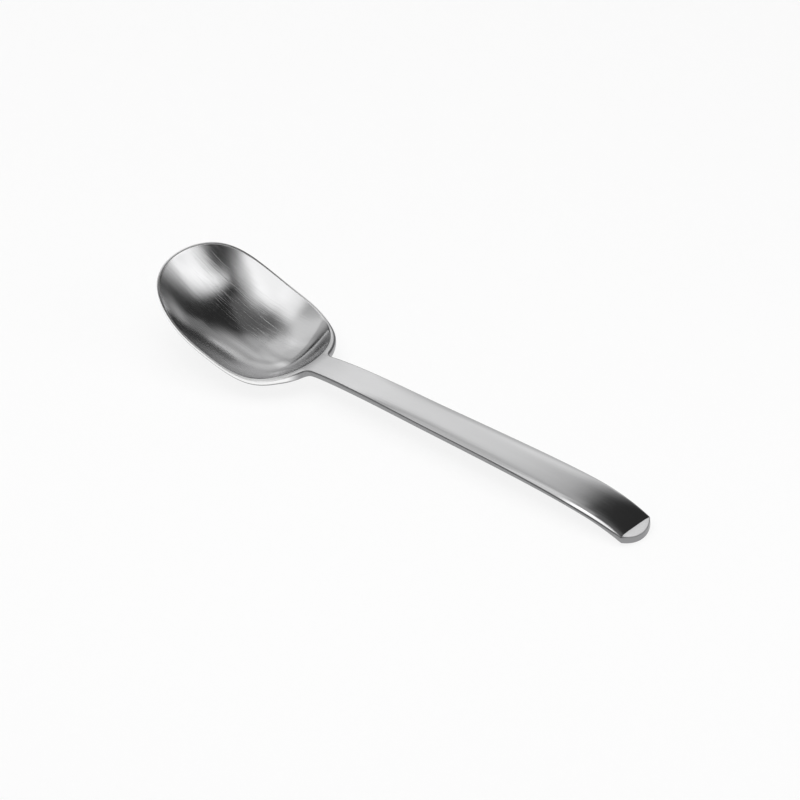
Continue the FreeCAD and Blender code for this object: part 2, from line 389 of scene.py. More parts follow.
@dataclass
class SpoonPlan:
    """The outline of the spoon seen from above, and where the lines of its mesh meet it."""

    form: SpoonForm
    sector_steps: int = 24
    fillet_steps: int = 4
    rim_steps: int = 72
    row_gap: float = 0.0018
    ridge_gap: float = 0.0005
    edge_room: float = 0.0008
    reach_rounds: int = 50
    outline_samples: int = 8000
    fillet_sector: tuple[float, float] = (0.05, 0.9)
    fillet_samples: int = 6000
    fillet_rounds: int = 40
    outer: np.ndarray = field(init=False)
    angles: np.ndarray = field(init=False)
    rows: np.ndarray = field(init=False)

    def __post_init__(self) -> None:
        """Finds the neck's fillet and then the columns and rows of the mesh."""
        self.find_fillet()
        self.outer = self.outer_points()
        self.angles = np.arctan2(self.outer[:, 1], self.outer[:, 0] - self.form.bowl_widest)
        self.rows = self.handle_rows()

    def reach(self, angle: np.ndarray, land: float, rear_land: float) -> np.ndarray:
        """Gives how far an outline of the bowl lies from its widest point.

        Args:
            angle: Directions in plan.
            land: The land in front and at the sides.
            rear_land: The land at the back.

        Returns:
            The distances along those directions.
        """
        low = np.zeros_like(angle)
        high = np.full_like(angle, self.form.overall_length / 4)
        for _ in range(self.reach_rounds):
            middle = (low + high) / 2
            x = self.form.bowl_widest + middle * np.cos(angle)
            inside = self.form.bowl_measure(x, middle * np.sin(angle), land, rear_land) < 1
            low = np.where(inside, middle, low)
            high = np.where(inside, high, middle)
        return (low + high) / 2

    def bowl_points(self, angle: np.ndarray, land: float, rear_land: float) -> np.ndarray:
        """Gives points of an outline of the bowl.

        Args:
            angle: Directions in plan.
            land: The land in front and at the sides.
            rear_land: The land at the back.

        Returns:
            One row of x and y for each direction.
        """
        distance = self.reach(angle, land, rear_land)
        x = self.form.bowl_widest + distance * np.cos(angle)
        return np.stack([x, distance * np.sin(angle)], axis=1)

    def find_fillet(self) -> None:
        """Finds the arc that joins the bowl's outline to the handle's straight side."""
        form = self.form
        lean = math.atan(form.side_slope())
        outward = np.array([-math.sin(lean), math.cos(lean)])
        angles = np.linspace(*self.fillet_sector, self.fillet_samples)
        outline = self.bowl_points(angles, form.rim_land, form.back_land)
        low, high = form.cavity_end, form.root
        for _ in range(self.fillet_rounds):
            x = (low + high) / 2
            side = np.array([x, float(form.handle_half_width(x))])
            centre = side + form.neck_fillet * outward
            distances = np.hypot(*(outline - centre).T)
            if distances.min() < form.neck_fillet:
                low = x
            else:
                high = x
        self.fillet_centre = centre
        bowl_touch = outline[distances.argmin()]
        to_bowl = bowl_touch - centre
        to_side = side - centre
        self.bowl_turn = math.atan2(to_bowl[1], to_bowl[0]) % (2 * math.pi)
        self.side_turn = math.atan2(to_side[1], to_side[0]) % (2 * math.pi)
        self.bowl_touch = bowl_touch

    def fillet_points(self, start: float, end: float, steps: int) -> np.ndarray:
        """Gives points of the neck's fillet.

        Args:
            start: Share of the arc where they start: 0 at the bowl and 1 at the handle.
            end: Share of the arc where they end.
            steps: Number of equal steps between them.

        Returns:
            One row of x and y for each point, both ends included.
        """
        share = np.linspace(start, end, steps + 1)
        turn = self.bowl_turn + (self.side_turn - self.bowl_turn) * share
        offset = np.stack([np.cos(turn), np.sin(turn)], axis=1)
        return self.fillet_centre + self.form.neck_fillet * offset

    def outer_points(self) -> np.ndarray:
        """Gives the columns' outer ends: across the neck, then round the fillet and the bowl."""
        form = self.form
        corner = self.fillet_points(0.5, 0.5, 0)[0]
        across = np.linspace(-corner[1], corner[1], self.sector_steps + 1)
        sector = np.stack([np.full_like(across, corner[0]), across], axis=1)
        fillet = self.fillet_points(0.5, 0.0, self.fillet_steps)[1:]
        start = math.atan2(self.bowl_touch[1], self.bowl_touch[0] - form.bowl_widest)
        dense = np.linspace(start, math.pi, self.outline_samples)
        outline = self.bowl_points(dense, form.rim_land, form.back_land)
        walked = np.concatenate([[0.0], np.cumsum(np.hypot(*np.diff(outline, axis=0).T))])
        wanted = np.linspace(0, walked[-1], self.rim_steps + 1)[1:]
        rim = self.bowl_points(np.interp(wanted, walked, dense), form.rim_land, form.back_land)
        side = np.concatenate([fillet, rim])
        mirrored = side[:-1][::-1] * np.array([1.0, -1.0])
        return np.concatenate([sector, side, mirrored])

    def handle_rows(self) -> np.ndarray:
        """Gives the ends of the handle's rows, from the middle of the fillet to the ridge."""
        form = self.form
        fillet = self.fillet_points(0.5, 1.0, self.fillet_steps)[1:]
        first = fillet[-1][0]
        last = form.ridge - self.ridge_gap
        count = round((last - first) / self.row_gap)
        stations = np.append(np.linspace(first, last, count + 1)[1:], form.ridge)
        straight = np.stack([stations, self.side_half_width(stations)], axis=1)
        return np.concatenate([fillet, straight])

    def column_share(self, columns: np.ndarray, x: float) -> np.ndarray:
        """Gives where the columns cross a row, with room for the rounding at the handle's edges.

        Args:
            columns: The columns' numbers.
            x: The row's distance from the tip.

        Returns:
            Shares of the half width, from -1 to 1.
        """
        form = self.form
        half = self.sector_steps / 2
        growth = float(smooth_step(x, form.root, form.bend_start - form.roll_growth_length))
        edge_gap = 1 / half + (self.edge_room / form.widest_half_width - 1 / half) * growth
        place = (columns - half) / half
        inner = place * (1 - edge_gap) * half / (half - 1)
        return np.where(np.abs(place) < 1, inner, place)

    def side_half_width(self, x: np.ndarray) -> np.ndarray:
        """Gives the handle's half width, with the sides curving in to the corners of the end.

        Args:
            x: Distances from the tip.

        Returns:
            The half widths.
        """
        form = self.form
        lean = math.atan(form.side_slope())
        inward = np.array([math.sin(lean), -math.cos(lean)])
        start = np.array([form.widest, form.widest_half_width])
        span = np.array([form.ridge, form.corner_half_width]) - start
        radius = float(span @ span) / (2 * float(span @ inward))
        centre = start + radius * inward
        curved = centre[1] + np.sqrt(radius**2 - (np.maximum(x, form.widest) - centre[0]) ** 2)
        return np.where(x > form.widest, curved, form.handle_half_width(x))

    def end_reach(self, y: np.ndarray) -> np.ndarray:
        """Gives how far the rounded end reaches.

        Args:
            y: Distances from the middle plane.

        Returns:
            The distances from the tip of the bowl.
        """
        form = self.form
        radius = (form.corner_half_width**2 + form.bevel_length**2) / (2 * form.bevel_length)
        return form.overall_length - radius + np.sqrt(radius**2 - y**2)


# ---------------------------------------------------------------------------------------------
# Finishes
# ---------------------------------------------------------------------------------------------


class NodeBoard:
    """Adds and joins the nodes of one material or world."""

    def __init__(self, tree: bpy.types.NodeTree) -> None:
        """Empties the tree."""
        self.tree = tree
        self.tree.nodes.clear()

    def add(self, kind: str, **values: object) -> bpy.types.Node:
        """Adds a node.

        Args:
            kind: Blender's name of the node type.
            values: Properties of the node by name, or values of its inputs by the input's name
                with spaces written as underscores.

        Returns:
            The new node.
        """
        node = self.tree.nodes.new(kind)
        for name, value in values.items():
            socket = next((s for s in node.inputs if s.name.replace(" ", "_") == name), None)
            if socket is None:
                setattr(node, name, value)
            else:
                socket.default_value = value
        return node

    def join(self, source: bpy.types.NodeSocket, target: bpy.types.NodeSocket) -> None:
        """Joins an output to an input."""
        self.tree.links.new(source, target)

    def maths(self, operation: str, *values: object) -> bpy.types.NodeSocket:
        """Adds a sum, product or other operation.

        Args:
            operation: Blender's name of the operation.
            values: Sockets or numbers that it works on.

        Returns:
            The result's socket.
        """
        node = self.tree.nodes.new("ShaderNodeMath")
        node.operation = operation
        for socket, value in zip(node.inputs, values):
            if isinstance(value, bpy.types.NodeSocket):
                self.join(value, socket)
            else:
                socket.default_value = value
        return node.outputs[0]

    def fade(
        self, value: bpy.types.NodeSocket, start: float, end: float, low: float = 0.0
    ) -> bpy.types.NodeSocket:
        """Adds a smooth rise to 1 between two values.

        Args:
            value: The socket that it follows.
            start: The value where the rise begins.
            end: The value where it ends.
            low: The result before the rise.

        Returns:
            The result's socket.
        """
        rise = self.add(
            "ShaderNodeMapRange",
            interpolation_type="SMOOTHSTEP",
            From_Min=start,
            From_Max=end,
            To_Min=low,
        )
        self.join(value, rise.inputs["Value"])
        return rise.outputs["Result"]


@dataclass(frozen=True)
class Grain:
    """Noise drawn out along the spoon.

    The scale says how many grains a metre holds across the spoon, the stretch is the scale along
    it as a share of that, and the turn is the angle to the spoon's length in degrees.
    """

    scale: float
    stretch: float
    turn: float = 0.0

    def add(self, board: NodeBoard) -> bpy.types.NodeSocket:
        """Adds the noise.

        Args:
            board: The material's nodes.

        Returns:
            The socket with the noise's height.
        """
        sheet = board.add("ShaderNodeUVMap", uv_map="lengthwise")
        turned = board.add("ShaderNodeMapping", Rotation=(0.0, 0.0, math.radians(self.turn)))
        board.join(sheet.outputs["UV"], turned.inputs["Vector"])
        mapping = board.add("ShaderNodeMapping", Scale=(self.stretch, 1.0, 1.0))
        board.join(turned.outputs["Vector"], mapping.inputs["Vector"])
        scale = self.scale * MAP_SIZE
        noise = board.add("ShaderNodeTexNoise", Scale=scale, Detail=2.0, Roughness=0.6)
        board.join(mapping.outputs["Vector"], noise.inputs["Vector"])
        return noise.outputs["Fac"]


@dataclass(frozen=True)
class BrushedSteel:
    """Stainless steel with a satin finish brushed lengthwise, and the fine scratches of use."""

    name: str
    tint: tuple[float, float, float] = (0.72, 0.72, 0.725)
    roughness: float = 0.13
    streak_share: float = 0.05
    wear_scale: float = 60.0
    wear_share: float = 0.05
    scratch_share: float = 0.2
    stray_share: float = 0.12
    anisotropy: float = 0.6
    brush_height: float = 0.000014
    fine_height: float = 0.08
    scratch_depth: float = 0.1
    fine_grain: Grain = Grain(7000.0, 0.012)
    broad_grain: Grain = Grain(2300.0, 0.018)
    scratch_grains: tuple[Grain, ...] = (Grain(3600.0, 0.018, 5.0), Grain(3600.0, 0.018, -3.0))
    scratch_start: float = 0.57
    scratch_full: float = 0.7
    worn_place: tuple[float, float, float] = (2.7, -1.12, 0.0)
    worn_scale: tuple[float, float, float] = (36.0, 145.0, 0.0)
    worn_middle: float = 0.6
    worn_edge: float = 1.5

    def make(self) -> bpy.types.Material:
        """Builds the node material.

        Returns:
            The material.
        """
        material = bpy.data.materials.new(self.name)
        material.use_nodes = True
        board = NodeBoard(material.node_tree)
        place = board.add("ShaderNodeTexCoord")
        fine = self.fine_grain.add(board)
        broad = self.broad_grain.add(board)
        scratches = self.scratches(board, place)
        wear = board.add("ShaderNodeTexNoise", Scale=self.wear_scale, Detail=3.0, Roughness=0.5)
        board.join(place.outputs["Object"], wear.inputs["Vector"])
        streaks = board.maths("SUBTRACT", board.maths("ADD", fine, broad), 1.0)
        patches = board.maths("SUBTRACT", wear.outputs["Fac"], 0.5)
        rough = board.maths("MULTIPLY_ADD", streaks, self.streak_share, self.roughness)
        rough = board.maths("MULTIPLY_ADD", patches, self.wear_share, rough)
        rough = board.maths("MULTIPLY_ADD", scratches, self.scratch_share, rough)
        height = board.maths("MULTIPLY_ADD", fine, self.fine_height, broad)
        height = board.maths("MULTIPLY_ADD", scratches, -self.scratch_depth, height)
        bump = board.add("ShaderNodeBump", Strength=1.0, Distance=self.brush_height)
        board.join(height, bump.inputs["Height"])
        tangent = board.add("ShaderNodeTangent", direction_type="UV_MAP", uv_map="lengthwise")
        steel = board.add(
            "ShaderNodeBsdfPrincipled",
            Base_Color=(*self.tint, 1.0),
            Metallic=1.0,
            Anisotropic=self.anisotropy,
            Anisotropic_Rotation=0.25,
        )
        self.colour(board, place, steel)
        board.join(rough, steel.inputs["Roughness"])
        board.join(bump.outputs["Normal"], steel.inputs["Normal"])
        board.join(tangent.outputs["Tangent"], steel.inputs["Tangent"])
        output = board.add("ShaderNodeOutputMaterial")
        board.join(steel.outputs["BSDF"], output.inputs["Surface"])
        return material

    def worn(self, board: NodeBoard, place: bpy.types.Node) -> bpy.types.NodeSocket:
        """Tells how scratched each place is: most in a band along the bowl's floor.

        Args:
            board: The material's nodes.
            place: The texture coordinates.

        Returns:
            The socket with the share of the scratches that shows.
        """
        centre = board.add("ShaderNodeMapping", Location=self.worn_place, Scale=self.worn_scale)
        board.join(place.outputs["Object"], centre.inputs["Vector"])
        away = board.add("ShaderNodeVectorMath", operation="LENGTH")
        board.join(centre.outputs["Vector"], away.inputs[0])
        return board.fade(
            away.outputs["Value"], self.worn_edge, self.worn_middle, self.stray_share
        )

    def colour(self, board: NodeBoard, place: bpy.types.Node, steel: bpy.types.Node) -> None:
        """Leaves the tint as it is, the same all over.

        Args:
            board: The material's nodes.
            place: The texture coordinates.
            steel: The shader.
        """

    def scratches(self, board: NodeBoard, place: bpy.types.Node) -> bpy.types.NodeSocket:
        """Adds sparse thin scratches, where a drawn-out noise is at its highest.

        Args:
            board: The material's nodes.
            place: The texture coordinates.

        Returns:
            The socket that is highest in a scratch and 0 elsewhere.
        """
        first, second = (
            board.fade(grain.add(board), self.scratch_start, self.scratch_full)
            for grain in self.scratch_grains
        )
        return board.maths("MULTIPLY", board.maths("ADD", first, second), self.worn(board, place))


@dataclass(frozen=True)
class RimSteel(BrushedSteel):
    """The wall around the spoon, with painted light in its colour: bright round the bowl as a
    painted reflection, dark along the handle as painted shade.
    """

    # The dark tint along the handle is painted shade; it starts and becomes full along x leaned by
    # y.
    painted_shade_tint: tuple[float, float, float] = (0.3, 0.3, 0.305)
    painted_shade_start: float = -0.0475
    painted_shade_full: float = -0.043
    painted_shade_lean: float = 0.4
    # The painted dark lines along the wall: the share of their half width that is darkest, and for
    # the foot and the top edge their place, half width and darkest brightness.
    painted_line_core: float = 0.3
    painted_foot_shade: tuple[float, float, float] = (0.0, 0.34, 0.3)
    painted_edge_shade: tuple[float, float, float] = (0.95, 0.14, 0.72)

    def colour(self, board: NodeBoard, place: bpy.types.Node, steel: bpy.types.Node) -> None:
        """Blends the bright rim into the dark wall of the handle, and paints dark lines on it.

        The colour is painted light: the bright rim is a painted reflection, the dark handle wall is
        painted shade, and painted dark lines run along the bowl wall's lower edge and along the
        rounding of the handle's top edge.

        Args:
            board: The material's nodes.
            place: The texture coordinates.
            steel: The shader.
        """
        parts = board.add("ShaderNodeSeparateXYZ")
        board.join(place.outputs["Object"], parts.inputs[0])
        # Painted shade: the wall's tint darkens from the bright rim towards the handle.
        leaning = board.maths(
            "MULTIPLY_ADD", parts.outputs["Y"], self.painted_shade_lean, parts.outputs["X"]
        )
        painted_shade_share = board.fade(leaning, self.painted_shade_start, self.painted_shade_full)
        blend = board.add("ShaderNodeMix", data_type="RGBA")
        blend.inputs[6].default_value = (*self.tint, 1.0)
        blend.inputs[7].default_value = (*self.painted_shade_tint, 1.0)
        board.join(painted_shade_share, blend.inputs[0])
        # Painted dark lines of shade: along the foot round the bowl, and along the top edge by the
        # handle.
        rise = board.add("ShaderNodeAttribute", attribute_name="wall_rise")
        lines = board.add("ShaderNodeMix", data_type="FLOAT")
        board.join(painted_shade_share, lines.inputs[0])
        board.join(self.line(board, rise, *self.painted_foot_shade), lines.inputs[2])
        board.join(self.line(board, rise, *self.painted_edge_shade), lines.inputs[3])
        shade = board.add("ShaderNodeMix", data_type="RGBA", blend_type="MULTIPLY")
        shade.inputs[0].default_value = 1.0
        board.join(blend.outputs[2], shade.inputs[6])
        board.join(lines.outputs[0], shade.inputs[7])
        board.join(shade.outputs[2], steel.inputs["Base Color"])

    def line(
        self,
        board: NodeBoard,
        rise: bpy.types.Node,
        middle: float,
        half_width: float,
        darkest: float,
    ) -> bpy.types.NodeSocket:
        """Adds a soft dark line of painted shade along the wall.

        Args:
            board: The material's nodes.
            rise: The place between the wall's foot, 0, and its top, 1.
            middle: The line's place.
            half_width: How far from there the line has faded out.
            darkest: The brightness that is left at its middle.

        Returns:
            The socket with the brightness.
        """
        away = board.maths("ABSOLUTE", board.maths("SUBTRACT", rise.outputs["Fac"], middle))
        return board.fade(away, half_width * self.painted_line_core, half_width, darkest)


@dataclass(frozen=True)
class PaleFloor:
    """A matt pale surface that shows white to the camera and in the metal, and keeps the shadow."""

    name: str = "pale_floor"
    colour: float = 0.9
    glow_share: float = 0.8

    def make(self) -> bpy.types.Material:
        """Builds the node material.

        Returns:
            The material.
        """
        material = bpy.data.materials.new(self.name)
        material.use_nodes = True
        board = NodeBoard(material.node_tree)
        matt = board.add("ShaderNodeBsdfDiffuse", Color=(*[self.colour] * 3, 1.0))
        white = board.add("ShaderNodeEmission", Color=(1.0, 1.0, 1.0, 1.0), Strength=1.0)
        path = board.add("ShaderNodeLightPath")
        seen = board.maths("ADD", path.outputs["Is Camera Ray"], path.outputs["Is Glossy Ray"])
        seen = board.maths("ADD", seen, path.outputs["Is Transmission Ray"])
        seen = board.maths("MINIMUM", seen, 1.0)
        share = board.maths("MULTIPLY", seen, self.glow_share)
        mix = board.add("ShaderNodeMixShader")
        board.join(share, mix.inputs[0])
        board.join(matt.outputs["BSDF"], mix.inputs[1])
        board.join(white.outputs["Emission"], mix.inputs[2])
        output = board.add("ShaderNodeOutputMaterial")
        board.join(mix.outputs["Shader"], output.inputs["Surface"])
        return material


# ---------------------------------------------------------------------------------------------
# The spoon
# ---------------------------------------------------------------------------------------------


class Bench:
    """Work on one mesh in edit mode: picking, extruding and placing its vertices."""

    def __init__(self, name: str, ring_size: int, radius: float) -> None:
        """Starts the mesh as a plain ring.

        Args:
            name: The name of the new object.
            ring_size: The number of vertices on the ring.
            radius: The ring's radius.
        """
        bpy.ops.object.select_all(action="DESELECT")
        bpy.ops.mesh.primitive_circle_add(vertices=ring_size, radius=radius, fill_type="NOTHING")
        self.body = bpy.context.object
        self.body.name = name
        self.body.data.name = name
        bpy.ops.object.mode_set(mode="EDIT")
        bpy.ops.mesh.select_mode(type="VERT")
        mesh = self.mesh()
        for layer in ("row", "column", "skin"):
            mesh.verts.layers.int.new(layer)
        mesh.verts.ensure_lookup_table()
        for vertex in mesh.verts:
            vertex[self.layer("column")] = vertex.index

    def mesh(self) -> bmesh.types.BMesh:
        """Gives the mesh that is being edited."""
        return bmesh.from_edit_mesh(self.body.data)

    def layer(self, name: str) -> bmesh.types.BMLayerItem:
        """Gives one of the number layers of the vertices."""
        return self.mesh().verts.layers.int[name]

    def pick(self, wanted: Callable[[int, int, int], bool]) -> None:
        """Selects vertices, and the edges between them.

        Args:
            wanted: Tells from a vertex's row, column and skin whether it is picked.
        """
        bpy.ops.mesh.select_all(action="DESELECT")
        mesh = self.mesh()
        row, column, skin = (self.layer(n) for n in ("row", "column", "skin"))
        for vertex in mesh.verts:
            vertex.select = wanted(vertex[row], vertex[column], vertex[skin])
        mesh.select_flush(True)
        bmesh.update_edit_mesh(self.body.data)

    def place(self, points: Callable[[np.ndarray], np.ndarray], number: int | None = None) -> None:
        """Moves the selected vertices.

        Args:
            points: Gives the new places from the columns.
            number: The row that they become, or None where they keep it.
        """
        mesh = self.mesh()
        row, column = self.layer("row"), self.layer("column")
        picked = [v for v in mesh.verts if v.select]
        places = points(np.array([v[column] for v in picked]))
        for vertex, at in zip(picked, places):
            vertex.co = at
            if number is not None:
                vertex[row] = number
        bmesh.update_edit_mesh(self.body.data)

    def draw_out(self, points: Callable[[np.ndarray], np.ndarray], number: int) -> None:
        """Extrudes the selected edges into a new row.

        Args:
            points: Gives the new places from the columns.
            number: The new row.
        """
        bpy.ops.mesh.extrude_region_move()
        self.place(points, number)


@dataclass
class Spoon:
    """The whole spoon: bowl, rim, neck and handle in one skin."""

    form: SpoonForm
    plan: SpoonPlan
    steel: BrushedSteel
    edge_steel: RimSteel
    bevel_steel: BrushedSteel
    edge_rings: tuple[float, ...] = (0.98, 0.955)
    inner_rings: tuple[float, float] = (0.925, 0.025)
    ring_count: int = 42
    merge_gap: float = 0.00002
    rim_ease: float = 0.00013
    cavity_ease: float = 0.0002
    shoulder_ease: float = 0.0004
    far_shoulder_ease: float = 0.0008
    lower_ease: float = 0.0002
    handle_ease: float = 0.00035
    far_handle_ease: float = 0.0002
    neck_ease: float = 0.00065
    end_ease: float = 0.0005
    shoulder_offsets: tuple[float, float] = (0.008, 0.004)
    neck_offsets: tuple[float, float] = (0.001, 0.006)
    neck_fade: float = 0.01
    ridge_offsets: tuple[float, float] = (0.01, 0.001)
    side_blend: float = 0.004
    ease_unit: float = 0.001
    ease_segments: int = 5
    smooth_angle: float = 40.0
    map_slant: float = 0.31

    def build(self) -> bpy.types.Object:
        """Models and dresses the spoon.

        Returns:
            The finished object.
        """
        bench = Bench("spoon_body", len(self.plan.outer), self.form.cavity_half_width)
        for finish in (self.steel, self.edge_steel, self.bevel_steel):
            bench.body.data.materials.append(finish.make())
        self.sink_cavity(bench)
        last_row = self.draw_handle(bench)
        self.fold_underside(bench)
        self.close_rim(bench)
        self.weigh_edges(bench, last_row)
        self.mark_finishes(bench, last_row)
        bpy.ops.object.mode_set(mode="OBJECT")
        body = bench.body
        self.ease_edges(body)
        self.note_rise(body)
        self.unwrap(body)
        self.fit_in(body)
        return body

    def spot(self, x: np.ndarray, y: np.ndarray, z: np.ndarray) -> np.ndarray:
        """Puts plan places and heights together, in the frame's own place.

        Args:
            x: Distances from the tip.
            y: Distances from the middle plane.
            z: Heights.

        Returns:
            One row of three numbers for each vertex.
        """
        return np.stack([x - self.form.overall_length / 2, y, z], axis=1)

    def cavity_ring(self, share: float) -> Callable[[np.ndarray], np.ndarray]:
        """Gives the places of a ring of the cavity.

        Args:
            share: The ring's size as a share of the cavity's edge.

        Returns:
            The function from columns to places.
        """
        edge = self.plan.bowl_points(self.plan.angles, 0, 0)

        def points(columns: np.ndarray) -> np.ndarray:
            """Gives the ring's vertices.

            Args:
                columns: Their columns.

            Returns:
                Their places.
            """
            x = self.form.bowl_widest + share * (edge[columns, 0] - self.form.bowl_widest)
            y = share * edge[columns, 1]
            return self.spot(x, y, self.form.cavity_height(x, y))

        return points

    def sink_cavity(self, bench: Bench) -> None:
        """Extrudes the cavity inwards ring by ring, and closes it at its middle.

        Args:
            bench: The mesh that is being made.
        """
        bench.pick(lambda row, column, skin: True)
        bench.place(self.cavity_ring(1.0), 0)
        shares = [*self.edge_rings, *np.linspace(*self.inner_rings, self.ring_count)]
        for number, share in enumerate(shares, 1):
            bench.draw_out(self.cavity_ring(share), -number)
        bench.draw_out(self.cavity_ring(0.0), -len(shares) - 1)
        bpy.ops.mesh.merge(type="COLLAPSE")

    def draw_handle(self, bench: Bench) -> int:
        """Extrudes the land outwards, the neck and handle row by row, and the bevelled end.

        Args:
            bench: The mesh that is being made.

        Returns:
            The number of the ridge's row.
        """
        outer, rows, form = self.plan.outer, self.plan.rows, self.form

        def land(columns: np.ndarray) -> np.ndarray:
            """Gives the outer vertices of the land.

            Args:
                columns: Their columns.

            Returns:
                Their places.
            """
            x, y = outer[columns].T
            return self.spot(x, y, form.top_height(x, y))

        bench.pick(lambda row, column, skin: row == 0)
        bench.draw_out(land, 1)
        steps = self.plan.sector_steps
        bench.pick(lambda row, column, skin: row == 1 and column <= steps)
        for number, (station, half_width) in enumerate(rows, 2):

            def across(columns: np.ndarray) -> np.ndarray:
                """Gives the vertices of one row of the handle.

                Args:
                    columns: Their columns.

                Returns:
                    Their places.
                """
                y = self.plan.column_share(columns, station) * half_width
                x = np.full_like(y, station)
                return self.spot(x, y, form.top_height(x, y))

            bench.draw_out(across, number)
        ridge_row = len(rows) + 1

        def end(columns: np.ndarray) -> np.ndarray:
            """Gives the vertices of the rounded end.

            Args:
                columns: Their columns.

            Returns:
                Their places.
            """
            y = self.plan.column_share(columns, form.ridge) * rows[-1][1]
            x = self.plan.end_reach(y)
            return self.spot(x, y, form.bevel_height(x, y))

        bench.draw_out(end, ridge_row + 1)
        bench.pick(lambda row, column, skin: row >= ridge_row and column in (0, steps))
        bpy.ops.mesh.remove_doubles(threshold=self.merge_gap)
        return ridge_row

    def fold_underside(self, bench: Bench) -> None:
        """Copies the top skin down to the underside.

        Args:
            bench: The mesh that is being made.
        """
        bench.pick(lambda row, column, skin: True)
        bpy.ops.mesh.duplicate()
        mesh = bench.mesh()
        skin = bench.layer("skin")
        picked = [v for v in mesh.verts if v.select]
        x = np.array([v.co.x for v in picked]) + self.form.overall_length / 2
        y = np.array([v.co.y for v in picked])
        for vertex, height in zip(picked, self.form.under_height(x, y)):
            vertex.co.z = height
            vertex[skin] = Skin.UNDERSIDE.value
        bmesh.update_edit_mesh(bench.body.data)

    def close_rim(self, bench: Bench) -> None:
        """Bridges the edges of the two skins with the wall of the rim.

        Args:
            bench: The mesh that is being made.
        """
        bpy.ops.mesh.select_all(action="DESELECT")
        bpy.ops.mesh.select_mode(type="EDGE")
        mesh = bench.mesh()
        for edge in mesh.edges:
            edge.select = edge.is_boundary
        bmesh.update_edit_mesh(bench.body.data)
        bpy.ops.mesh.bridge_edge_loops()
        bpy.ops.mesh.select_all(action="SELECT")
        bpy.ops.mesh.normals_make_consistent(inside=False)

    def mark_finishes(self, bench: Bench, ridge_row: int) -> None:
        """Gives the wall, the land round the bowl and the end bevel their finishes.

        Args:
            bench: The mesh that is being made.
            ridge_row: The number of the ridge's row.
        """
        mesh = bench.mesh()
        row, skin = bench.layer("row"), bench.layer("skin")
        for face in mesh.faces:
            rows = {v[row] for v in face.verts}
            skins = {v[skin] for v in face.verts}
            middle = face.calc_center_median()
            leaning = middle.x + self.edge_steel.painted_shade_lean * middle.y
            # The land before the painted shade starts takes the rim's material and its painted
            # bright reflection.
            land = rows == {0, 1} and leaning < self.edge_steel.painted_shade_start
            if len(skins) == 2 or (land and skins == {Skin.TOP.value}):
                face.material_index = Finish.RIM.value
            elif rows == {ridge_row, ridge_row + 1} and skins == {Skin.TOP.value}:
                face.material_index = Finish.BEVEL.value
        bmesh.update_edit_mesh(bench.body.data)

    def ease(self, band: Band, x: float, y: float) -> float:
        """Gives how far an edge of the spoon is eased.

        Args:
            band: The edge.
            x: The distance from the tip.
            y: The distance from the middle plane.

        Returns:
            The width of the rounding.
        """
        if band is Band.CAVITY:
            return self.cavity_ease
        form = self.form
        shoulder_start = form.bowl_widest + self.shoulder_offsets[0]
        rise = float(smooth_step(x, shoulder_start, form.heel + self.shoulder_offsets[1]))
        neck_start, neck_end = (form.neck + offset for offset in self.neck_offsets)
        fall = float(smooth_step(x, neck_start, neck_end))
        roll = float(smooth_step(x, form.bend_start - form.roll_growth_length, form.half_bend))
        ridge_start, ridge_end = (form.ridge - offset for offset in self.ridge_offsets)
        roll -= float(smooth_step(x, ridge_start, ridge_end))
        beyond = float(smooth_step(x, form.neck + self.neck_fade, form.overall_length / 2))
        past_neck = fall * (1 - beyond)
        far = float(smooth_step(y, -self.side_blend, self.side_blend))
        shoulder = self.shoulder_ease + (self.far_shoulder_ease - self.shoulder_ease) * far
        handle = self.handle_ease + (self.far_handle_ease - self.handle_ease) * far
        width = self.rim_ease + (shoulder - self.rim_ease) * rise
        width += (handle - shoulder) * fall
        width += (self.end_ease - self.handle_ease) * roll * (1 - far)
        width += (self.neck_ease - self.handle_ease) * past_neck * (1 - far)
        return width if band is Band.UPPER else min(width, self.lower_ease)

    def weigh_edges(self, bench: Bench, ridge_row: int) -> None:
        """Marks the edges to ease with their widths, and the ridge as sharp.

        Args:
            bench: The mesh that is being made.
            ridge_row: The number of the ridge's row.
        """
        mesh = bench.mesh()
        row, skin = bench.layer("row"), bench.layer("skin")
        weight = mesh.edges.layers.float.new("bevel_weight_edge")
        for edge in mesh.edges:
            rows = {v[row] for v in edge.verts}
            skins = {v[skin] for v in edge.verts}
            walls = [f for f in edge.link_faces if len({v[skin] for v in f.verts}) == 2]
            x = sum(v.co.x for v in edge.verts) / 2 + self.form.overall_length / 2
            y = sum(v.co.y for v in edge.verts) / 2
            if len(skins) == 2:
                continue
            if len(walls) == 1:
                band = Band.UPPER if skins == {Skin.TOP.value} else Band.LOWER
                edge[weight] = self.ease(band, x, y) / self.ease_unit
            elif rows == {0} and skins == {Skin.TOP.value}:
                edge[weight] = self.ease(Band.CAVITY, x, y) / self.ease_unit
            elif rows == {ridge_row} and skins == {Skin.TOP.value}:
                edge.smooth = False
        bmesh.update_edit_mesh(bench.body.data)

    def ease_edges(self, body: bpy.types.Object) -> None:
        """Rounds the marked edges and smooths the shading.

        Args:
            body: The spoon.
        """
        bevel = body.modifiers.new("eased_edges", "BEVEL")
        bevel.limit_method = "WEIGHT"
        bevel.width = self.ease_unit
        bevel.segments = self.ease_segments
        bevel.profile = 0.5
        bevel.use_clamp_overlap = False
        bevel.loop_slide = True
        # The eased faces take the rim's material, so its painted shade and painted dark lines cover
        # the roundings.
        bevel.material = Finish.RIM.value
        bpy.ops.object.modifier_apply(modifier=bevel.name)
        angle = math.radians(self.smooth_angle)
        bpy.ops.object.shade_smooth_by_angle(angle=angle, keep_sharp_edges=True)

